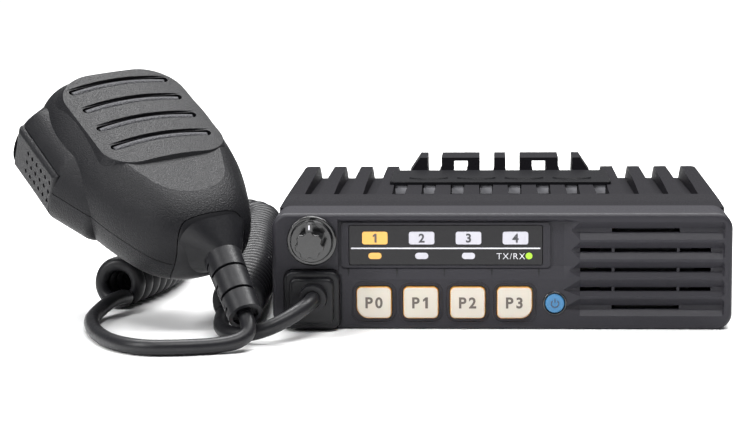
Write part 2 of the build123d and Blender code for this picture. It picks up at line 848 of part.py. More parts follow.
with BuildPart() as plug_boot:
    with BuildSketch(facing(plug_front)):
        with Locations(boot_centre):
            RectangleRounded(boot_size[0], boot_size[1] - 2 * fit_gap, 2.8)
    extrude(amount=plug_front + boot_proud - boot_step)
    fillet(plug_boot.faces().sort_by(Axis.Y)[0].edges(), 0.9)
    with BuildSketch(facing(plug_front)):
        with Locations(boot_centre):
            RectangleRounded(boot_size[0] - 2 * boot_ledge, boot_size[1] - 2 * (fit_gap + boot_ledge), 2.2)
    extrude(amount=plug_front + boot_proud)
    fillet(plug_boot.faces().sort_by(Axis.Y)[0].edges(), 1.2)
    with BuildSketch(facing(0.5 - boot_proud)):
        with Locations(collar_at):
            Circle(collar_radius)
    extrude(amount=collar_length + 0.5, taper=5)
    with BuildSketch(facing(0.6 - boot_proud - collar_length)):
        with Locations(collar_at):
            Circle(cord_radius + 0.5)
    extrude(amount=1, mode=Mode.SUBTRACT)
pieces["plug_boot"] = plug_boot

# ---------------------------------------------------------------- hand microphone
# Its own frame: x across to the right as one looks at its face, y up along its body, z out of its
# face; the origin is the middle of the block of grille slots.
mic_plane = Plane(origin=(-121.5, -33.75, 70.2), x_dir=(0.805, 0.589, 0.0763), z_dir=(0.239, -0.439, 0.866))
# half width, top end and bottom end of the body at each level below the face
mic_levels = (
    (-1.0, 20.5, 22.5, -45.0),
    (-4.0, 24.6, 26.8, -53.0),
    (-9.0, 28.2, 29.4, -58.0),
    (-16.0, 30.2, 30.2, -60.4),
    (-22.5, 30.0, 30.0, -60.0),
    (-29.0, 28.0, 28.0, -56.0),
    (-33.0, 24.5, 24.4, -49.5),
)
mic_wall = 2.2
mic_shape = ((0.40, 0.008), (0.74, 0.05), (0.92, 0.15), (1.0, 0.28), (0.985, 0.46), (0.88, 0.68),
             (0.74, 0.81), (0.57, 0.92), (0.30, 0.985))
seam_level = -20.0
part_line = 0.25  # gap that shows between two shells
mic_back = mic_levels[-1][0]


def mic_outline(half, top, bottom):
    """Points of the body's outline: shares of its half width and length, mirrored about its centre line."""
    length = top - bottom
    right = [(half * across, top - length * down) for across, down in mic_shape]
    left = [(-x, y) for x, y in reversed(right)]
    return [(0, top), *right, (0, bottom), *left]


def in_mic(x, y, z):
    """A place in the microphone's own frame, as a location in the object's frame."""
    return mic_plane.location * Location((x, y, z))


with BuildPart() as mic_outer:
    for level, half, top, bottom in mic_levels:
        with BuildSketch(mic_plane.offset(level)):
            with BuildLine():
                Spline(*mic_outline(half, top, bottom), periodic=True)
            make_face()
    loft()

inner_levels = [(mic_levels[0][0] - mic_wall, *mic_levels[0][1:])]
inner_levels += mic_levels[2:-1]
inner_levels += [(mic_back + mic_wall, *mic_levels[-1][1:])]
# the shoulder that stands out round the push-to-talk button, drawn in by an inset at each level
shoulder_outline = ((-8.0, 27.0), (-25.0, 25.4), (-33.8, 19.4), (-34.3, -11.0), (-27.0, -27.0), (-8.0, -27.0))
shoulder_levels = ((-7.5, 9.0), (-11.5, 2.4), (-16.0, 0.2), (-29.5, 0.0), (-32.6, 4.0))
shoulder_middle = 4.0
with BuildPart() as mic_shoulder:
    for level, inset in shoulder_levels:
        drawn_in = [
            (x + inset, shoulder_middle + (y - shoulder_middle) * (1 - inset / 45)) for x, y in shoulder_outline
        ]
        with BuildSketch(mic_plane.offset(level)) as shoulder_sketch:
            with BuildLine():
                Polyline(*drawn_in, close=True)
            make_face()
            fillet(shoulder_sketch.vertices(), 4.0)
    loft()

with BuildPart() as mic_body:
    add(mic_outer.part)
    add(mic_shoulder.part)

with BuildPart() as mic_inner:
    for level, half, top, bottom in inner_levels:
        with BuildSketch(mic_plane.offset(level)):
            with BuildLine():
                Spline(*mic_outline(half - mic_wall, top - mic_wall, bottom + mic_wall), periodic=True)
            make_face()
    loft()

boot_top = -53.5
boot_top_half = 12.0
boot_bottom_half = 14.0
boot_blocks = {}
for gap in (0.0, part_line):
    with BuildPart() as boot_block:
        with BuildSketch(mic_plane.offset(3)) as block_outline:
            with BuildLine():
                Polyline(
                    (-boot_top_half - gap, boot_top + gap),
                    (boot_top_half + gap, boot_top + gap),
                    (boot_bottom_half + gap, boot_top - 20),
                    (-boot_bottom_half - gap, boot_top - 20),
                    close=True,
                )
            make_face()
            fillet(block_outline.vertices().group_by(Axis.Y)[-1], 4.0)
        extrude(amount=-45)
    boot_blocks[gap] = boot_block

slot_pitch = 10.8
slot_length = 39.5
slot_groove = 4.2
slot_open = 3.0
slot_groove_depth = 1.2
slot_arc = 130.0  # radius of the slots' curve
dome_radius = 150.0  # the face is domed across
slot_ys = [(1.5 - i) * slot_pitch for i in range(4)]
island_levels = ((-6.0, 24.4, 26.8, -31.0), (0.3, 21.6, 22.7, -26.5))
ptt_centre = (-31.9, 4.0, -22.0)
ptt_size = (5.2, 30.0, 16.2)
ptt_clearance = 0.4
ptt_swing_room = 3.4
mic_screws_at = ((-17.5, 10.8), (17.5, 10.8), (-11.0, -38.0), (11.0, -38.0))
mic_post_radius = 3.0
mic_screw_radius = 1.2
mic_head_radius = 2.3
head_sink = 3.0

with BuildPart() as ptt_opening:
    with Locations(in_mic(ptt_centre[0] + ptt_size[0] / 2 + ptt_swing_room, ptt_centre[1], ptt_centre[2])):
        Box(
            4 * ptt_size[0],
            ptt_size[1] + 2 * ptt_clearance,
            ptt_size[2] + 2 * ptt_clearance,
            align=(Align.MAX, Align.CENTER, Align.CENTER),
        )

with BuildPart() as mic_front_shell:
    add(mic_body.part)
    for level, half, top, bottom in island_levels:
        with BuildSketch(mic_plane.offset(level)) as island_outline:
            with Locations((0, (top + bottom) / 2)):
                Rectangle(2 * half, top - bottom)
            fillet(island_outline.vertices().group_by(Axis.Y)[-1], half * 0.62)
            fillet(island_outline.vertices().group_by(Axis.Y)[0], half * 0.5)
    loft()
    with BuildSketch(mic_plane.offset(seam_level)):
        with Locations((0, -15)):
            Rectangle(90, 120)
    extrude(amount=-30, mode=Mode.SUBTRACT)
    add(mic_inner.part, mode=Mode.SUBTRACT)
    with Locations(in_mic(0, -10, island_levels[1][0] - dome_radius)):
        Cylinder(dome_radius, 140, rotation=(90, 0, 0), mode=Mode.INTERSECT)
    for mouth, shrink, cut in ((slot_groove, 0.0, slot_groove_depth), (slot_open, 2.0, 8.0)):
        half_turn = (slot_length - mouth - shrink) / 2 / slot_arc * 180 / pi
        with BuildSketch(mic_plane.offset(island_levels[1][0] - cut)):
            for y in slot_ys:
                with BuildLine() as arc_line:
                    CenterArc((0, y - slot_arc + 0.6), slot_arc, 90 - half_turn, 2 * half_turn)
                SlotArc(arc_line.edge(), mouth)
        extrude(amount=cut + 1, mode=Mode.SUBTRACT)
    with BuildSketch(mic_plane.offset(seam_level)):
        with Locations(*mic_screws_at):
            Circle(mic_post_radius)
    extrude(amount=-seam_level - 2.5)
    add(boot_blocks[part_line].part, mode=Mode.SUBTRACT)
    add(ptt_opening.part, mode=Mode.SUBTRACT)
    with BuildSketch(mic_plane.offset(seam_level)):
        with Locations(*mic_screws_at):
            Circle(mic_screw_radius + screw_clearance)
    extrude(amount=9, mode=Mode.SUBTRACT)
pieces["mic_front_shell"] = mic_front_shell

hanger_at = (0.0, -4.0)
with BuildPart() as mic_rear_shell:
    add(mic_body.part)
    with BuildSketch(mic_plane.offset(seam_level - part_line)):
        with Locations((0, -15)):
            Rectangle(90, 120)
    extrude(amount=30, mode=Mode.SUBTRACT)
    add(mic_inner.part, mode=Mode.SUBTRACT)
    with BuildSketch(mic_plane.offset(seam_level)):
        with Locations(*mic_screws_at):
            Circle(mic_post_radius)
    extrude(amount=mic_back - seam_level + 1.5)
    add(boot_blocks[part_line].part, mode=Mode.SUBTRACT)
    add(ptt_opening.part, mode=Mode.SUBTRACT)
    with BuildSketch(mic_plane.offset(mic_back)):
        with Locations(*mic_screws_at):
            Circle(mic_screw_radius + 0.3)
        with Locations(hanger_at):
            Circle(1.6)
    extrude(amount=seam_level - mic_back, mode=Mode.SUBTRACT)
    with BuildSketch(mic_plane.offset(mic_back)):
        with Locations(*mic_screws_at):
            Circle(mic_head_radius + 0.3)
    extrude(amount=head_sink, mode=Mode.SUBTRACT)
pieces["mic_rear_shell"] = mic_rear_shell

with BuildPart() as mic_screws:
    with BuildSketch(mic_plane.offset(mic_back + head_sink)):
        with Locations(*mic_screws_at):
            Circle(mic_head_radius)
    extrude(amount=-1.6)
    with BuildSketch(mic_plane.offset(mic_back + head_sink)):
        with Locations(*mic_screws_at):
            Circle(mic_screw_radius)
    extrude(amount=seam_level - mic_back - head_sink + 7)
    with Locations(*[in_mic(x, y, mic_back + head_sink - 1.6) for x, y in mic_screws_at]):
        Box(0.7, 2.8, 1.4, mode=Mode.SUBTRACT)
        Box(2.8, 0.7, 1.4, mode=Mode.SUBTRACT)
pieces["mic_screws"] = mic_screws

with BuildPart() as hanger_button:
    with BuildSketch(mic_plane.offset(mic_back - seat_gap)):
        with Locations(hanger_at):
            Circle(3.2)
    extrude(amount=-2.0)
    with BuildSketch(mic_plane.offset(mic_back - 2.0)):
        with Locations(hanger_at):
            Circle(6.0)
    extrude(amount=-2.4)
    fillet(hanger_button.edges().filter_by(GeomType.CIRCLE).sort_by(SortBy.RADIUS)[-2:], 0.7)
    with BuildSketch(mic_plane.offset(mic_back - seat_gap)):
        with Locations(hanger_at):
            Circle(1.5)
    extrude(amount=mic_wall + 2)
pieces["hanger_button"] = hanger_button

# rubber boot: the lower end of the body drawn down into a slotted strain relief
neck_start = (0.9, -64.0, -15.0)
neck_end = (-3.2, -88.2, -18.8)
neck_radius = 6.2
neck_slots = 5
neck_slot = 1.0
start_point = in_mic(*neck_start).position
end_point = in_mic(*neck_end).position
neck_plane = Plane(origin=start_point, x_dir=mic_plane.x_dir, z_dir=end_point - start_point)
neck_length = (end_point - start_point).length
shoulder_plane = Plane(
    origin=in_mic(0, boot_top - 3, -15).position, x_dir=mic_plane.x_dir, z_dir=-mic_plane.y_dir
)
with BuildPart() as mic_boot:
    add(mic_outer.part)
    add(boot_blocks[0.0].part, mode=Mode.INTERSECT)
    with BuildSketch(shoulder_plane):
        RectangleRounded(24, 23, 8)
    with BuildSketch(neck_plane):
        Circle(neck_radius)
    loft()
    with BuildSketch(neck_plane):
        Circle(neck_radius)
    extrude(amount=neck_length, taper=1.5)
    for i in range(neck_slots):
        with BuildSketch(neck_plane.offset(2.5 + i * (neck_length - 6) / (neck_slots - 1))):
            Circle(neck_radius + 1)
            Circle(neck_radius - 2.0, mode=Mode.SUBTRACT)
            with Locations((0, (-1) ** i * (neck_radius + 0.8))):
                Rectangle(4 * neck_radius, 2 * neck_radius, mode=Mode.SUBTRACT)
        extrude(amount=neck_slot, mode=Mode.SUBTRACT)
    with BuildSketch(neck_plane.offset(neck_length - 1.5)):
        Circle(neck_radius - 2.0)
        Circle(cord_radius + 0.1, mode=Mode.SUBTRACT)
    extrude(amount=2, mode=Mode.SUBTRACT)
pieces["mic_boot"] = mic_boot

with BuildPart() as ptt_button:
    with Locations(in_mic(*ptt_centre)):
        Box(*ptt_size)
    outer_face = ptt_button.faces().sort_by(Axis(origin=ptt_centre, direction=mic_plane.x_dir))[0]
    fillet(outer_face.edges(), 1.8)
    with BuildSketch(
        Plane(origin=in_mic(*ptt_centre).position, x_dir=mic_plane.y_dir, z_dir=-mic_plane.x_dir).offset(
            ptt_size[0] / 2
        )
    ):
        with Locations((-3.5, 0)):
            with GridLocations(3.4, 3.6, 6, 3):
                Circle(0.75)
    extrude(amount=-0.5, mode=Mode.SUBTRACT)
pieces["ptt_button"] = ptt_button

screen_level = -4.2
with BuildPart() as mic_screen:
    with BuildSketch(mic_plane.offset(screen_level)):
        RectangleRounded(slot_length - 2.9, slot_pitch * 3 + slot_groove, 10)
        with Locations(*mic_screws_at[:2]):
            Circle(mic_post_radius + 0.3, mode=Mode.SUBTRACT)
    extrude(amount=-0.4)
pieces["mic_screen"] = mic_screen

capsule_level = -6.0
with BuildPart() as mic_capsule:
    with BuildSketch(mic_plane.offset(capsule_level)):
        Circle(4.8)
    extrude(amount=-5.0)
pieces["mic_capsule"] = mic_capsule

with BuildPart() as capsule_holder:
    with BuildSketch(mic_plane.offset(screen_level - 0.5)):
        Circle(6.5)
        Circle(4.8 + seat_gap, mode=Mode.SUBTRACT)
    extrude(amount=-8.0)
pieces["capsule_holder"] = capsule_holder

mic_board_level = -13.5
with BuildPart() as mic_board:
    with BuildSketch(mic_plane.offset(mic_board_level)) as board_outline:
        with Locations((0, -9)):
            RectangleRounded(42, 52, 6)
        with Locations(*mic_screws_at):
            Circle(mic_post_radius + 0.4, mode=Mode.SUBTRACT)
    extrude(amount=-1.2)
pieces["mic_board"] = mic_board

with BuildPart() as ptt_switch:
    with Locations(in_mic(-22.6, -6.0, mic_board_level - 1.25 - 3.0)):
        Box(3.4, 7.0, 6.0)
pieces["ptt_switch"] = ptt_switch

# ---------------------------------------------------------------- cord
# Points of the cord's route, chosen by hand: the plain tail from the microphone, the axis of the
# coiled stretch lying on the ground, and the plain tail to the plug.
mic_tail_points = [
    tuple(end_point),
    tuple(end_point + neck_plane.z_dir * 6.0),
    (-81.5, -95.5, 3.6),
    (-88.5, -97.5, 2.6),
    (-98.0, -100.2, 2.6),
    (-110.5, -101.5, 2.6),
    (-121.5, -94.0, 2.6),
    (-130.5, -78.0, 2.6),
    (-135.5, -59.0, 2.6),
    (-136.0, -45.5, 2.6),
    (-132.1, -34.9, 5.5),
    (-128.8, -26.1, 5.5),
]
coil_points = [
    (-133.0, -24.5, 9.0),
    (-127.0, -8.5, 9.0),
    (-121.0, 19.0, 9.0),
    (-122.0, 47.0, 9.0),
    (-134.0, 71.0, 9.0),
    (-146.0, 92.0, 9.0),
    (-148.0, 112.0, 9.0),
    (-133.0, 128.0, 9.0),
    (-110.0, 129.0, 9.0),
    (-95.0, 112.5, 9.0),
    (-95.0, 82.0, 9.0),
    (-92.0, 48.0, 9.0),
    (-88.5, 12.0, 9.0),
    (-86.5, -20.0, 9.0),
    (-86.5, -55.5, 9.0),
]
plug_tail_points = [
    (collar_at[0], front - boot_proud - collar_length + 0.6, collar_at[1]),
    (-61.0, -72.4, 11.7),
    (-65.0, -79.0, 9.4),
    (-72.0, -83.0, 5.8),
    (-80.0, -83.2, 3.2),
    (-87.0, -79.2, 2.6),
    (-90.8, -72.2, 3.2),
    (-91.0, -64.0, 5.2),
    (-91.0, -55.5, 5.2),
]


def corner_radii(points):
    """The largest arc that the two runs at each corner allow."""
    places = [Vector(*p) for p in points]
    runs = [b - a for a, b in zip(places, places[1:])]
    radii = []
    for before, after in zip(runs, runs[1:]):
        turn = before.get_angle(after)
        radii.append(0.45 * min(before.length, after.length) / tan(radians(turn / 2)))
    return radii


cord_routes = {
    "cord_mic_tail": (mic_tail_points, cord_radius),
    "cord_coil": (coil_points, coil_radius),
    "cord_plug_tail": (plug_tail_points, cord_radius),
}
for name, (points, radius) in cord_routes.items():
    radii = corner_radii(points)
    with BuildPart() as cord:
        with BuildLine() as route:
            FilletPolyline(*points, radius=radii)
        with BuildSketch(Plane(origin=points[0], z_dir=Vector(*points[1]) - Vector(*points[0]))):
            Circle(radius)
        sweep()
    run = sum(edge.length for edge in route.edges())
    wanted = pi * radius**2 * run
    print(name, "radii", [round(r, 1) for r in radii], "length", round(run, 1))
    print(name, "volume over section times length", round(cord.part.volume / wanted, 4))
    pieces[name] = cord

for name, piece in pieces.items():
    piece.part.label = name
    export_step(piece.part, f"parts/{name}.step")
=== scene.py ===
import math
import bmesh
import bpy
from mathutils import Matrix, Vector


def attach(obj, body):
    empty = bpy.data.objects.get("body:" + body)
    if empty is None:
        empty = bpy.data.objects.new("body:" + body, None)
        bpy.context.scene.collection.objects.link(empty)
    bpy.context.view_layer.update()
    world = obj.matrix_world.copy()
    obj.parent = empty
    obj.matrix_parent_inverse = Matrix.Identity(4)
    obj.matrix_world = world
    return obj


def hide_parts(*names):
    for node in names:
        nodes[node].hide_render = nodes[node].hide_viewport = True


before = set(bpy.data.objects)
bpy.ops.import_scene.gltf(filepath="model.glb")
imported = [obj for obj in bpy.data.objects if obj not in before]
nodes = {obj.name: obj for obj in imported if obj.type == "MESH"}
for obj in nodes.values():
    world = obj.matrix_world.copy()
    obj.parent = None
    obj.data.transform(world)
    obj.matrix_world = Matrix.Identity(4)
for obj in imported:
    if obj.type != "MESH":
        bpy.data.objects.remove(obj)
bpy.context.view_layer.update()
mm = 0.001

# Mobile two-way radio with its hand microphone on a curly cord. Millimetres in the dictionaries,
# metres in Blender. X is right, Y to the rear, Z up, and the origin is under the middle of the radio.


def linear(hexText):
    parts = [int(hexText[i:i + 2], 16) / 255 for i in (1, 3, 5)]
    return [c / 12.92 if c <= 0.04045 else ((c + 0.055) / 1.055) ** 2.4 for c in parts] + [1.0]


def addNode(tree, kind, inputs=None, **settings):
    made = tree.nodes.new(kind)
    for name, value in settings.items():
        setattr(made, name, value)
    for socket, value in (inputs or {}).items():
        if isinstance(value, bpy.types.NodeSocket):
            tree.links.new(value, made.inputs[socket])
        else:
            made.inputs[socket].default_value = value
    return made


# ---- materials

mottleSpacing = 14  # millimetres between the patches of the slow mottling
mottleDetail = 3.0
coatRoughness = 0.05
scatterReach = 0.001
grainLow, grainHigh = 0.3, 0.7  # the part of the grain's range that changes the roughness
grainRelief = 0.5  # height of the grain as a share of its spacing
squareOn, turnedAway = -0.97, -0.6  # how far a side key face is turned from the front


def finish(name, look):
    # one surface: a base colour with slow mottling, a fine grain in the bump and an uneven roughness
    material = bpy.data.materials.new(name)
    material.use_nodes = True
    tree = material.node_tree
    shader = tree.nodes["Principled BSDF"]
    shader.inputs["Metallic"].default_value = look.get("metallic", 0.0)
    shader.inputs["IOR"].default_value = look.get("ior", 1.5)
    shader.inputs["Coat Weight"].default_value = look.get("coat", 0.0)
    shader.inputs["Coat Roughness"].default_value = coatRoughness
    shader.inputs["Sheen Weight"].default_value = look.get("sheen", 0.0)
    shader.inputs["Subsurface Weight"].default_value = look.get("subsurface", 0.0)
    shader.inputs["Subsurface Scale"].default_value = scatterReach
    shader.inputs["Specular IOR Level"].default_value = look.get("specular", 0.5)
    if "glow" in look:
        shader.inputs["Emission Color"].default_value = linear(look["glow"])
        shader.inputs["Emission Strength"].default_value = look["glowStrength"]
    place = addNode(tree, "ShaderNodeTexCoord").outputs["Object"]
    slow = addNode(tree, "ShaderNodeTexNoise",
                   {"Vector": place, "Scale": 1000 / mottleSpacing, "Detail": mottleDetail})
    base = linear(look["colour"])
    change = look.get("mottle", 0.12)
    dark = [a * (1 - change) for a in base[:3]] + [1]
    light = [min(1, a * (1 + change)) for a in base[:3]] + [1]
    tint = addNode(tree, "ShaderNodeMix", {"Factor": slow.outputs["Fac"]}, data_type="RGBA")
    tint.inputs[6].default_value = dark
    tint.inputs[7].default_value = light
    colour = tint.outputs[2]
    if "sides" in look:  # the backlight tints what doesn't face forwards
        facing = addNode(tree, "ShaderNodeTexCoord").outputs["Normal"]
        forwards = addNode(tree, "ShaderNodeSeparateXYZ", {"Vector": facing}).outputs["Y"]
        share = addNode(tree, "ShaderNodeMapRange",
                        {"Value": forwards, "From Min": squareOn, "From Max": turnedAway,
                         "To Min": 0.0, "To Max": 1.0})
        edged = addNode(tree, "ShaderNodeMix", {"Factor": share.outputs[0]}, data_type="RGBA")
        tree.links.new(colour, edged.inputs[6])
        edged.inputs[7].default_value = linear(look["sides"])
        colour = edged.outputs[2]
    tree.links.new(colour, shader.inputs["Base Color"])
    grain = addNode(tree, look.get("grainKind", "ShaderNodeTexNoise"),
                    {"Vector": place, "Scale": 1000 / look.get("grainMm", 0.4)})
    height = grain.outputs[0]
    low, high = look.get("roughness", (0.4, 0.5))
    wear = addNode(tree, "ShaderNodeMapRange",
                   {"Value": height, "From Min": grainLow, "From Max": grainHigh,
                    "To Min": low, "To Max": high})
    tree.links.new(wear.outputs[0], shader.inputs["Roughness"])
    bump = addNode(tree, "ShaderNodeBump",
                   {"Height": height, "Strength": look.get("bump", 0.3),
                    "Distance": look.get("grainMm", 0.4) * mm * grainRelief})
    tree.links.new(bump.outputs[0], shader.inputs["Normal"])
    return material


looks = {
    # ABS front, spark-eroded mould: a dense matt grain that greys at a shallow angle
    "mouldedAbs": dict(colour="#28272c", specular=0.25, roughness=(0.42, 0.58), grainMm=0.45,
                       bump=0.35, mottle=0.06),
    # die-cast aluminium with a black sand-textured powder coat
    "powderCoatedCasting": dict(colour="#17161a", roughness=(0.5, 0.66), grainMm=0.6, bump=0.5,
                                mottle=0.1, specular=0.1),
    # the plate on the fins, coated like the casting but smoother
    "powderCoatedPlate": dict(colour="#121215", roughness=(0.38, 0.5), grainMm=0.5, bump=0.25,
                              mottle=0.08, specular=0.12),
    # painted mild steel sheet
    "paintedSteelSheet": dict(colour="#232327", roughness=(0.4, 0.5), grainMm=0.7, bump=0.15),
    # smoked acrylic window: near black and glossy
    "smokedAcrylic": dict(colour="#121114", specular=0.3, roughness=(0.14, 0.2), grainMm=3,
                          bump=0.02, mottle=0.02, ior=1.49),
    # light guides and lamps behind the window
    "litPolycarbonate": dict(colour="#dddde4", roughness=(0.3, 0.4), grainMm=1, bump=0.05, mottle=0.03),
    # moulded silicone, dyed through
    "blueSiliconeKey": dict(colour="#37739f", roughness=(0.35, 0.45), grainMm=0.5, bump=0.12, mottle=0.05),
    # polished ABS knob
    "polishedAbs": dict(colour="#0c0c0d", roughness=(0.16, 0.24), grainMm=1.5, bump=0.03,
                        mottle=0.05, coat=0.5),
    # hand microphone housing: ABS with a leathery spark grain
    "grainedAbs": dict(colour="#111114", roughness=(0.34, 0.56), grainMm=0.5, bump=0.9,
                       mottle=0.12, specular=0.2),
    # thermoplastic rubber, satin skin
    "satinElastomer": dict(colour="#131316", specular=0.28, roughness=(0.36, 0.44), grainMm=0.9,
                           bump=0.1, mottle=0.08),
    # polyurethane cord jacket
    "polyurethaneJacket": dict(colour="#161619", specular=0.3, roughness=(0.34, 0.46), grainMm=1.1,
                               bump=0.08, mottle=0.1),
    # glass-filled nylon
    "nylonSocket": dict(colour="#18181a", roughness=(0.4, 0.5), grainMm=0.6, bump=0.2),
    # satin nickel on brass
    "nickelPlate": dict(colour="#b9b7b0", metallic=1.0, roughness=(0.2, 0.32), grainMm=0.8, bump=0.05),
    # contacts
    "goldFlashedBrass": dict(colour="#d9a441", metallic=1.0, roughness=(0.2, 0.3), grainMm=0.8, bump=0.05),
    # screws
    "blackOxideSteel": dict(colour="#33333a", metallic=1.0, roughness=(0.3, 0.45), grainMm=0.4, bump=0.2),
    # bright tinned steel
    "tinPlate": dict(colour="#c3c3bf", metallic=1.0, roughness=(0.28, 0.45), grainMm=1.2, bump=0.08),
    # heat-conducting filler pads
    "greyGapPad": dict(colour="#9b9ba0", roughness=(0.6, 0.75), grainMm=0.6, bump=0.3, mottle=0.08),
    "blackFelt": dict(colour="#121214", roughness=(0.85, 0.98), grainMm=0.25, bump=0.9, sheen=0.2),
    # pressed paper of the speaker cone
    "pulpCone": dict(colour="#1d1c1b", roughness=(0.7, 0.9), grainMm=0.5, bump=0.5),
    # green lacquer on the boards
    "solderMask": dict(colour="#12402a", roughness=(0.25, 0.4), grainMm=0.8, bump=0.1),
    # moulded cases of the electronic parts
    "epoxyCase": dict(colour="#17171a", roughness=(0.45, 0.6), grainMm=0.4, bump=0.3),
    # key mat and ribbon
    "siliconeRubber": dict(colour="#8f8f90", roughness=(0.5, 0.6), grainMm=0.6, bump=0.15),
    # closed-cell gasket, and the dark of the small arrows
    "blackFoam": dict(colour="#151517", roughness=(0.8, 0.95), grainMm=0.4, bump=0.8),
    # the modular plug
    "clearPolycarbonate": dict(colour="#c9ccd0", roughness=(0.08, 0.15), grainMm=2, bump=0.02),
    # screen prints; the white one also paints a highlight on the knob's pointer
    "whitePrintAndPaintedHighlight": dict(colour="#d2d2d8", roughness=(0.4, 0.5), grainMm=0.3, bump=0.1, mottle=0.03),
    "greyPrint": dict(colour="#59504a", roughness=(0.4, 0.5), grainMm=0.3, bump=0.1, mottle=0.05),
    "markPrint": dict(colour="#3e4d61", roughness=(0.4, 0.5), grainMm=0.3, bump=0.1, mottle=0.05),
    "darkPrint": dict(colour="#3b3b40", roughness=(0.4, 0.5), grainMm=0.3, bump=0.1, mottle=0.05),
    # inlays of the lamps and the channel tiles
    "amberPrint": dict(colour="#e2ab58", roughness=(0.35, 0.45), grainMm=0.5, bump=0.05, mottle=0.05,
                       glow="#ffb93a", glowStrength=0.06),
    "greenPrint": dict(colour="#9ccc2c", roughness=(0.35, 0.45), grainMm=0.5, bump=0.05, mottle=0.05,
                       glow="#b0f020", glowStrength=0.08),
    "tilePrint": dict(colour="#b9b8c1", roughness=(0.35, 0.45), grainMm=0.5, bump=0.05, mottle=0.04,
                      glow="#ffffff", glowStrength=0.02),
    # keys, lit from behind with an amber edge
    "creamPolycarbonate": dict(colour="#c2bbaf", roughness=(0.38, 0.48), grainMm=0.5, bump=0.1, mottle=0.02,
                               subsurface=0.2, sides="#c98f3c"),
    # acoustic cloth over the microphone's slots: an open weave
    "acousticCloth": dict(colour="#3a3a3e", roughness=(0.55, 0.8), grainMm=0.55, bump=0.9, mottle=0.15,
                          grainKind="ShaderNodeTexVoronoi"),
}
materials = {name: finish(name, look) for name, look in looks.items()}
print("materials:", len(materials))

nodeFinish = {
    "mouldedAbs": ("front_panel",),
    "powderCoatedCasting": ("chassis",),
    "powderCoatedPlate": ("deck_plate",),
    "paintedSteelSheet": ("bottom_cover",),
    "smokedAcrylic": ("display_window",),
    "litPolycarbonate": ("channel_lamps", "status_lamps", "channel_leds"),
    "creamPolycarbonate": ("key_p0", "key_p1", "key_p2", "key_p3"),
    "blueSiliconeKey": ("power_key",),
    "polishedAbs": ("volume_knob",),
    "grainedAbs": ("mic_front_shell", "mic_rear_shell", "ptt_button"),
    "satinElastomer": ("mic_boot", "plug_boot", "capsule_holder"),
    "nylonSocket": ("dc_socket", "mic_jack"),
    "nickelPlate": ("antenna_socket", "speaker_jack", "hanger_button", "volume_shaft"),
    "goldFlashedBrass": ("antenna_contact", "dc_pins", "plug_contacts"),
    "blackOxideSteel": ("cover_screws", "board_screws", "mic_screws"),
    "tinPlate": ("shield_can", "mic_capsule", "speaker_frame"),
    "greyGapPad": ("gap_pads", "thermal_pad"),
    "blackFelt": ("speaker_felt", "mic_screen"),
    "pulpCone": ("speaker_cone",),
    "solderMask": ("main_board", "front_board", "mic_board"),
    "epoxyCase": ("power_module", "key_switches", "volume_control", "ptt_switch"),
    "siliconeRubber": ("key_mat", "ribbon_cable"),
    "blackFoam": ("panel_gasket",),
    "clearPolycarbonate": ("mic_plug",),
}
for finishName, members in nodeFinish.items():
    for member in members:
        nodes[member].data.materials.clear()
        nodes[member].data.materials.append(materials[finishName])


# ---- making pieces

def keep(name, mesh, material, body):
    piece = bpy.data.objects.new(name, mesh)
    bpy.context.scene.collection.objects.link(piece)
    mesh.materials.append(materials[material])
    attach(piece, body)
    return piece


def roundedOutline(x, z, width, height, radius, steps=6):
    points = []
    for turn, (sx, sz) in enumerate(((1, 1), (-1, 1), (-1, -1), (1, -1))):
        cx = x + sx * (width / 2 - radius)
        cz = z + sz * (height / 2 - radius)
        for i in range(steps + 1):
            angle = math.pi / 2 * (turn + i / steps)
            points.append((cx + radius * math.cos(angle), cz + radius * math.sin(angle)))
    return points


def plates(name, outlines, back, thick, material, body, edge=0.08, foot=0.0, lean=0.0):
    # inlays with a softened front edge, parallel to the front face or leaning back above their foot
    bm = bmesh.new()
    for outline in outlines:
        ring = [bm.verts.new((x * mm, back * mm, z * mm)) for x, z in outline]
        face = bm.faces.new(ring)
        if face.normal.y > 0:
            face.normal_flip()
        grown = bmesh.ops.extrude_face_region(bm, geom=[face])
        moved = [v for v in grown["geom"] if isinstance(v, bmesh.types.BMVert)]
        bmesh.ops.translate(bm, verts=moved, vec=(0, -thick * mm, 0))
    bmesh.ops.recalc_face_normals(bm, faces=bm.faces)
    frontEdges = [e for e in bm.edges
                  if all(abs(v.co.y - (back - thick) * mm) < 1e-7 for v in e.verts)]
    if edge:
        bmesh.ops.bevel(bm, geom=frontEdges, offset=edge * mm, segments=2, affect="EDGES", profile=0.6)
    for v in bm.verts:
        v.co.y += (v.co.z - foot * mm) * lean
    mesh = bpy.data.meshes.new(name)
    bm.to_mesh(mesh)
    bm.free()
    return keep(name, mesh, material, body)


def bead(name, lines, radius, material, body, closed=False):
    # round ridges along lines given in millimetres
    curve = bpy.data.curves.new(name, "CURVE")
    curve.dimensions = "3D"
    curve.bevel_depth = radius * mm
    curve.bevel_resolution = 3
    curve.use_fill_caps = True
    for line in lines:
        spline = curve.splines.new("POLY")
        spline.points.add(len(line) - 1)
        for point, place in zip(spline.points, line):
            point.co = (*[c * mm for c in place], 1.0)
        spline.use_cyclic_u = closed
    source = bpy.data.objects.new(name, curve)
    bpy.context.scene.collection.objects.link(source)
    bpy.context.view_layer.update()
    mesh = bpy.data.meshes.new_from_object(source.evaluated_get(bpy.context.evaluated_depsgraph_get()))
    bpy.data.objects.remove(source)
    for face in mesh.polygons:
        face.use_smooth = True
    mesh.name = name
    return keep(name, mesh, material, body)


def numeralOne(x, z, height):
    # a one with a flag
    shape = ((0.2, 0.5), (0.2, -0.5), (-0.04, -0.5), (-0.04, 0.2), (-0.24, 0.1), (-0.24, 0.3), (0.0, 0.5))
    return [(x + a * height, z + b * height) for a, b in shape]


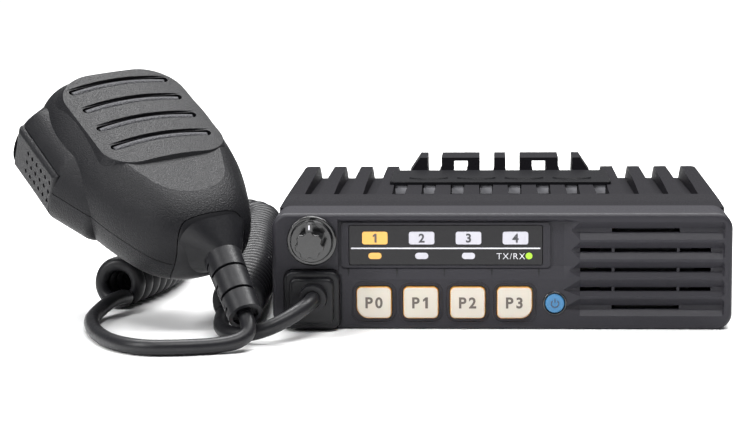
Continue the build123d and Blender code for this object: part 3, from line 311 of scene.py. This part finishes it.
def lettering(name, text, middle, height, surface, thick, material, body, weight=0.0, spread=1.0):
    # printed characters on a face that looks towards -Y
    curve = bpy.data.curves.new(name, "FONT")
    curve.body = text
    curve.align_x = "CENTER"
    curve.align_y = "CENTER"
    curve.size = 1.0
    curve.offset = weight
    curve.space_character = spread
    curve.extrude = 0.5
    source = bpy.data.objects.new(name, curve)
    bpy.context.scene.collection.objects.link(source)
    bpy.context.view_layer.update()
    mesh = bpy.data.meshes.new_from_object(source.evaluated_get(bpy.context.evaluated_depsgraph_get()))
    bpy.data.objects.remove(source)
    xs = [v.co.x for v in mesh.vertices]
    ys = [v.co.y for v in mesh.vertices]
    size = height / (max(ys) - min(ys))
    centreX = (max(xs) + min(xs)) / 2
    centreY = (max(ys) + min(ys)) / 2
    for v in mesh.vertices:
        x, y, z = v.co
        v.co = ((middle[0] + (x - centreX) * size) * mm,
                (surface - (z + 0.5) * thick) * mm,
                (middle[1] + (y - centreY) * size) * mm)
    mesh.name = name
    return keep(name, mesh, material, body)


# ---- display

display = dict(face=-57.25, pitch=15.3, firstX=-41.2, tile=(8.35, 4.2), tileZ=30.1, tileRound=0.75,
               pill=(4.3, 2.1), pillZ=24.2, lineZ=26.7, line=(-49.1, 12.8, 0.45),
               dot=(9.1, 24.2, 1.1), digitHeight=3.0, digitWeight=0.03)
tileXs = [display["firstX"] + i * display["pitch"] for i in range(4)]
tileOutlines = [roundedOutline(x, display["tileZ"], *display["tile"], display["tileRound"]) for x in tileXs]
pillOutlines = [roundedOutline(x, display["pillZ"], *display["pill"], display["pill"][1] / 2 - 0.05)
                for x in tileXs[:3]]
plates("selected_channel_tile", tileOutlines[:1], display["face"], 0.18, "amberPrint", "radio")
plates("channel_tiles", tileOutlines[1:], display["face"], 0.18, "tilePrint", "radio")
plates("selected_channel_mark", pillOutlines[:1], display["face"], 0.15, "amberPrint", "radio")
plates("channel_marks", pillOutlines[1:], display["face"], 0.15, "tilePrint", "radio")
left, right, thickLine = display["line"]
lineOutline = roundedOutline((left + right) / 2, display["lineZ"], right - left, thickLine, 0.1, 2)
plates("display_line", [lineOutline],
       display["face"], 0.05, "whitePrintAndPaintedHighlight", "radio", edge=0)
dotX, dotZ, dotRadius = display["dot"]
plates("receive_lamp", [roundedOutline(dotX, dotZ, 2 * dotRadius, 2 * dotRadius, dotRadius * 0.98, 8)],
       display["face"], 0.18, "greenPrint", "radio")
plates("channel_digit_1", [numeralOne(tileXs[0], display["tileZ"], display["digitHeight"])],
       display["face"] - 0.18, 0.03, "greyPrint", "radio", edge=0)
for i, x in enumerate(tileXs[1:]):
    lettering(f"channel_digit_{i + 2}", str(i + 2), (x, display["tileZ"]), display["digitHeight"],
              display["face"] - 0.18, 0.03, "darkPrint", "radio",
              weight=display["digitWeight"])
lettering("transmit_receive_label", "TX/RX", (3.2, 24.1), 2.0, display["face"], 0.05, "whitePrintAndPaintedHighlight", "radio",
          weight=-0.008, spread=1.15)

# small dark arrows with a raised rim, on the strip that leans back towards the display
strip = dict(foot=16.7, face=-58.75, lean=2.0 / 4.1, xs=(-49.9, -34.0, -18.5, -3.0, 12.3))
plates("strip_arrows", [[(x - 0.42, 19.9), (x + 0.42, 19.9), (x, 17.6)] for x in strip["xs"]],
       strip["face"], 0.06, "blackFoam", "radio", edge=0,
       foot=strip["foot"], lean=strip["lean"])
bead("strip_arrow_rims", [[(x + s * 0.5, strip["face"] + (z - strip["foot"]) * strip["lean"], z)
                           for s, z in ((-1, 20.1), (0, 17.3), (1, 20.1))] for x in strip["xs"]], 0.12,
     "mouldedAbs", "radio")
print("display done")

# ---- keys

keys = dict(face=-60.05, firstX=-41.5, pitch=15.3, z=9.1, legendHeight=3.7, weight=0.03, half=1.6,
            tray=(14.1, 13.2), trayRound=3.4, panelFace=-58.75)
for i in range(4):
    x = keys["firstX"] + i * keys["pitch"]
    lettering(f"key_letter_p{i}", "P", (x - keys["half"], keys["z"]), keys["legendHeight"],
              keys["face"], 0.04, "greyPrint", f"key_p{i}", weight=keys["weight"])
    if i == 1:
        plates("key_number_1", [numeralOne(x + keys["half"], keys["z"], keys["legendHeight"])],
               keys["face"], 0.04, "greyPrint", "key_p1", edge=0)
    else:
        lettering(f"key_number_{i}", str(i), (x + keys["half"], keys["z"]), keys["legendHeight"],
                  keys["face"], 0.04, "greyPrint", f"key_p{i}", weight=keys["weight"])
bead("key_trays", [[(a, keys["panelFace"], b) for a, b in
                    roundedOutline(keys["firstX"] + i * keys["pitch"], keys["z"], *keys["tray"],
                                   keys["trayRound"])]
                   for i in range(4)], 0.24, "mouldedAbs", "radio", closed=True)

powerKey = dict(x=17.5, z=8.8, face=-59.55, ring=3.6, mark=1.2)
bead("power_key_ring", [[(powerKey["x"] + powerKey["ring"] * math.cos(a), keys["panelFace"],
                          powerKey["z"] + powerKey["ring"] * math.sin(a))
                         for a in [2 * math.pi * i / 40 for i in range(40)]]], 0.34, "polishedAbs", "radio",
     closed=True)
bead("power_mark", [[(powerKey["x"] + powerKey["mark"] * math.cos(a), powerKey["face"],
                      powerKey["z"] + powerKey["mark"] * math.sin(a))
                     for a in [math.radians(130 + 280 * i / 24) for i in range(25)]],
                    [(powerKey["x"], powerKey["face"], powerKey["z"] + 0.3),
                     (powerKey["x"], powerKey["face"], powerKey["z"] + 1.6)]], 0.2, "markPrint", "power_key")
# a white bar on the knob's pointer: a painted highlight, not a printed mark
plates("knob_painted_highlight", [[(-61.95, 36.2), (-61.45, 36.2), (-61.45, 34.7), (-61.95, 34.7)]], -69.75, 0.06,
       "whitePrintAndPaintedHighlight", "volume_knob", edge=0)
print("keys done")

# ---- hand microphone: its own frame, as it leans against the cord beside the radio

micOrigin = Vector((-121.5, -33.75, 70.2))
micOut = Vector((0.239, -0.439, 0.866)).normalized()
micRight = Vector((0.805, 0.589, 0.0763))
micRight = (micRight - micOut * micRight.dot(micOut)).normalized()
micUp = micOut.cross(micRight)


def micPoint(x, y, z):
    return micOrigin + micRight * x + micUp * y + micOut * z


slots = dict(pitch=10.8, length=39.5, arc=130.0, dome=150.0, face=0.3, depth=1.75, radius=1.38)
clothLines = []
for i in range(4):
    line = []
    for k in range(25):
        x = (k / 24 - 0.5) * (slots["length"] - 5.0)
        rise = math.sqrt(slots["arc"] ** 2 - x ** 2) - slots["arc"] + 0.6
        fall = math.sqrt(slots["dome"] ** 2 - x ** 2) - slots["dome"]
        line.append(micPoint(x, (1.5 - i) * slots["pitch"] + rise, slots["face"] + fall - slots["depth"]))
    clothLines.append(line)
bead("slot_cloth", clothLines, slots["radius"], "acousticCloth", "microphone")

# ---- cord: one spline from the microphone's strain relief, through the coil, to the plug

cord = dict(radius=2.5, helixRadius=6.5, pitch=5.6, turnPoints=14, exitAt=(-3.2, -88.2, -18.8),
            neckFrom=(0.9, -64.0, -15.0))
neckEnd = micPoint(*cord["exitAt"])
neckDirection = (neckEnd - micPoint(*cord["neckFrom"])).normalized()
micTail = [
    tuple(neckEnd),
    tuple(neckEnd + neckDirection * 6.0),
    (-81.5, -95.5, 3.6),
    (-88.5, -97.5, 2.6),
    (-98.0, -100.2, 2.6),
    (-110.5, -101.5, 2.6),
    (-121.5, -94.0, 2.6),
    (-130.5, -78.0, 2.6),
    (-135.5, -59.0, 2.6),
    (-136.0, -45.5, 2.6),
    (-132.1, -34.9, 5.5),
]
coilAxis = [
    (-133.0, -24.5, 9.0),
    (-127.0, -8.5, 9.0),
    (-121.0, 19.0, 9.0),
    (-122.0, 47.0, 9.0),
    (-134.0, 71.0, 9.0),
    (-146.0, 92.0, 9.0),
    (-148.0, 112.0, 9.0),
    (-133.0, 128.0, 9.0),
    (-110.0, 129.0, 9.0),
    (-95.0, 112.5, 9.0),
    (-95.0, 82.0, 9.0),
    (-92.0, 48.0, 9.0),
    (-88.5, 12.0, 9.0),
    (-86.5, -20.0, 9.0),
    (-86.5, -55.5, 9.0),
]
plugTail = [
    (-91.0, -64.0, 5.2),
    (-90.8, -72.2, 3.2),
    (-87.0, -79.2, 2.6),
    (-80.0, -83.2, 3.2),
    (-72.0, -83.0, 5.8),
    (-65.0, -79.0, 9.4),
    (-61.0, -72.4, 11.7),
    (-61.0, -67.65, 11.7),
]


def splineCurve(name, points, bevel=0.0, resolution=12):
    curve = bpy.data.curves.new(name, "CURVE")
    curve.dimensions = "3D"
    curve.resolution_u = resolution
    curve.bevel_depth = bevel
    curve.bevel_resolution = 5
    curve.use_fill_caps = True
    spline = curve.splines.new("NURBS")
    spline.points.add(len(points) - 1)
    for point, place in zip(spline.points, points):
        point.co = (*[c * mm for c in place], 1.0)
    spline.order_u = 3
    spline.use_endpoint_u = True
    made = bpy.data.objects.new(name, curve)
    bpy.context.scene.collection.objects.link(made)
    return made


def lineOf(points):
    # the smooth line of a route, in millimetres
    route = splineCurve("route", points)
    bpy.context.view_layer.update()
    mesh = bpy.data.meshes.new_from_object(route.evaluated_get(bpy.context.evaluated_depsgraph_get()))
    line = [v.co / mm for v in mesh.vertices]
    bpy.data.objects.remove(route)
    bpy.data.meshes.remove(mesh)
    return line


def helixAlong(line, look, startSide, endSide):
    # turns wound about the line, opened where the line bends so that the inner sides stay apart
    lengths = [0.0]
    for a, b in zip(line, line[1:]):
        lengths.append(lengths[-1] + (b - a).length)
    total = lengths[-1]

    def at(s):
        s = min(max(s, 0.0), total)
        k = min(range(len(lengths) - 1), key=lambda j: 0 if lengths[j] <= s <= lengths[j + 1] else 1)
        share = (s - lengths[k]) / max(lengths[k + 1] - lengths[k], 1e-9)
        return line[k].lerp(line[k + 1], share)

    def heading(s):
        return (at(s + 2.0) - at(s - 2.0)).normalized()

    step = 0.1
    turns = 0.0
    places = [0.0]
    phases = [0.0]
    s = 0.0
    while s < total:
        bend = heading(s + 3).angle(heading(s - 3), 0.0) / 6
        widest = look["pitch"]
        if bend > 1e-4:
            inner = max(1 / bend - look["helixRadius"], 4.0)
            widest = max(widest, look["radius"] * 2.04 * (1 / bend) / inner)
        turns += step / widest
        s += step
        places.append(s)
        phases.append(turns)
    side = (startSide - line[0])
    side = (side - heading(0) * side.dot(heading(0))).normalized()
    firstAngle = math.atan2(side.z, side.dot(Vector((0, 0, 1)).cross(heading(0)).normalized()))
    last = line[-1]
    lastSide = (endSide - last)
    lastSide = (lastSide - heading(total) * lastSide.dot(heading(total))).normalized()
    lastAngle = math.atan2(lastSide.z, lastSide.dot(Vector((0, 0, 1)).cross(heading(total)).normalized()))
    wanted = (lastAngle - firstAngle) / (2 * math.pi)
    whole = round(turns - wanted) + wanted
    count = int(whole * look["turnPoints"])
    points = []
    j = 0
    for i in range(count + 1):
        turn = whole * i / count
        while j < len(phases) - 2 and phases[j + 1] * whole / turns < turn:
            j += 1
        s = places[j]
        along = heading(s)
        across = Vector((0, 0, 1)).cross(along).normalized()
        angle = firstAngle + 2 * math.pi * turn
        up = across.cross(along)
        up = up if up.z > 0 else -up
        points.append(tuple(at(s) + (across * math.cos(angle) + up * math.sin(angle)) * look["helixRadius"]))
    return points


axisLine = lineOf(coilAxis)
helix = helixAlong(axisLine, cord, Vector(micTail[-1]), Vector(plugTail[0]))
cordPoints = micTail + helix + plugTail
handCord = splineCurve("microphone_cord", cordPoints, cord["radius"] * mm, 6)
handCord.data.materials.append(materials["polyurethaneJacket"])
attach(handCord, "microphone")
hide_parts("cord_mic_tail", "cord_coil", "cord_plug_tail")

# ---- floor, light and camera

studio = dict(world="#f2f3f5", worldStrength=0.22)
floorMaterial = bpy.data.materials.new("paintedFloor")
floorMaterial.use_nodes = True
floorTree = floorMaterial.node_tree
floorShader = floorTree.nodes["Principled BSDF"]
floorShader.inputs["Roughness"].default_value = 0.7
floorPlace = addNode(floorTree, "ShaderNodeTexCoord").outputs["Object"]
floorNoise = addNode(floorTree, "ShaderNodeTexNoise", {"Vector": floorPlace, "Scale": 3.0})
floorTint = addNode(floorTree, "ShaderNodeMix", {"Factor": floorNoise.outputs["Fac"]}, data_type="RGBA")
floorTint.inputs[6].default_value = linear("#f1f1f1")
floorTint.inputs[7].default_value = linear("#f6f6f6")
floorTree.links.new(floorTint.outputs[2], floorShader.inputs["Base Color"])
floorMesh = bpy.data.meshes.new("floor")
floorMesh.from_pydata([(-8, -4, 0), (8, -4, 0), (8, 14, 0), (-8, 14, 0)], [], [(0, 1, 2, 3)])
floor = bpy.data.objects.new("floor", floorMesh)
floorMesh.materials.append(floorMaterial)
bpy.context.scene.collection.objects.link(floor)

world = bpy.data.worlds.new("studio")
world.use_nodes = True
background = world.node_tree.nodes["Background"]
background.inputs["Color"].default_value = linear(studio["world"])
background.inputs["Strength"].default_value = studio["worldStrength"]
bpy.context.scene.world = world
bpy.context.scene.view_settings.view_transform = "Standard"

lights = {
    "overhead": dict(at=(0.05, 0.3, 0.85), aim=(-0.03, 0, 0.02), size=(1.1, 0.2), power=10.0),
    "left": dict(at=(-0.75, -0.5, 0.6), aim=(-0.1, 0, 0.05), size=(0.15, 0.5), power=7.0),
    "front": dict(at=(0.1, -0.6, 1.3), aim=(0, 0, 0.02), size=(1.0, 0.2), power=17.0),
    "backdrop": dict(at=(0, 1.2, 2.2), aim=(0, 2.2, 0), size=(3.0, 1.5), power=90.0),
}
for name, setup in lights.items():
    lamp = bpy.data.lights.new(name, "AREA")
    lamp.shape = "RECTANGLE"
    lamp.size, lamp.size_y = setup["size"]
    lamp.energy = setup["power"]
    holder = bpy.data.objects.new(name, lamp)
    holder.location = setup["at"]
    holder.rotation_euler = (Vector(setup["aim"]) - Vector(setup["at"])).to_track_quat("-Z", "Y").to_euler()
    bpy.context.scene.collection.objects.link(holder)

view = dict(at=(-3.53, -754.1, 141.5), yaw=-3.084, pitch=8.392, roll=-0.494, lens=103.73)
yaw, pitch, roll = (math.radians(view[k]) for k in ("yaw", "pitch", "roll"))
ahead = Vector((math.sin(yaw) * math.cos(pitch), math.cos(yaw) * math.cos(pitch), -math.sin(pitch)))
level = ahead.cross(Vector((0, 0, 1))).normalized()
upright = level.cross(ahead)
sideways = level * math.cos(roll) + upright * math.sin(roll)
overhead = upright * math.cos(roll) - level * math.sin(roll)
cameraData = bpy.data.cameras.new("camera")
cameraData.lens = view["lens"]
cameraData.sensor_width = 36.0
camera = bpy.data.objects.new("camera", cameraData)
turned = Matrix((sideways, overhead, -ahead)).transposed().to_4x4()
camera.matrix_world = Matrix.Translation(Vector(view["at"]) * mm) @ turned
bpy.context.scene.collection.objects.link(camera)
bpy.context.scene.camera = camera
print("camera and light done")
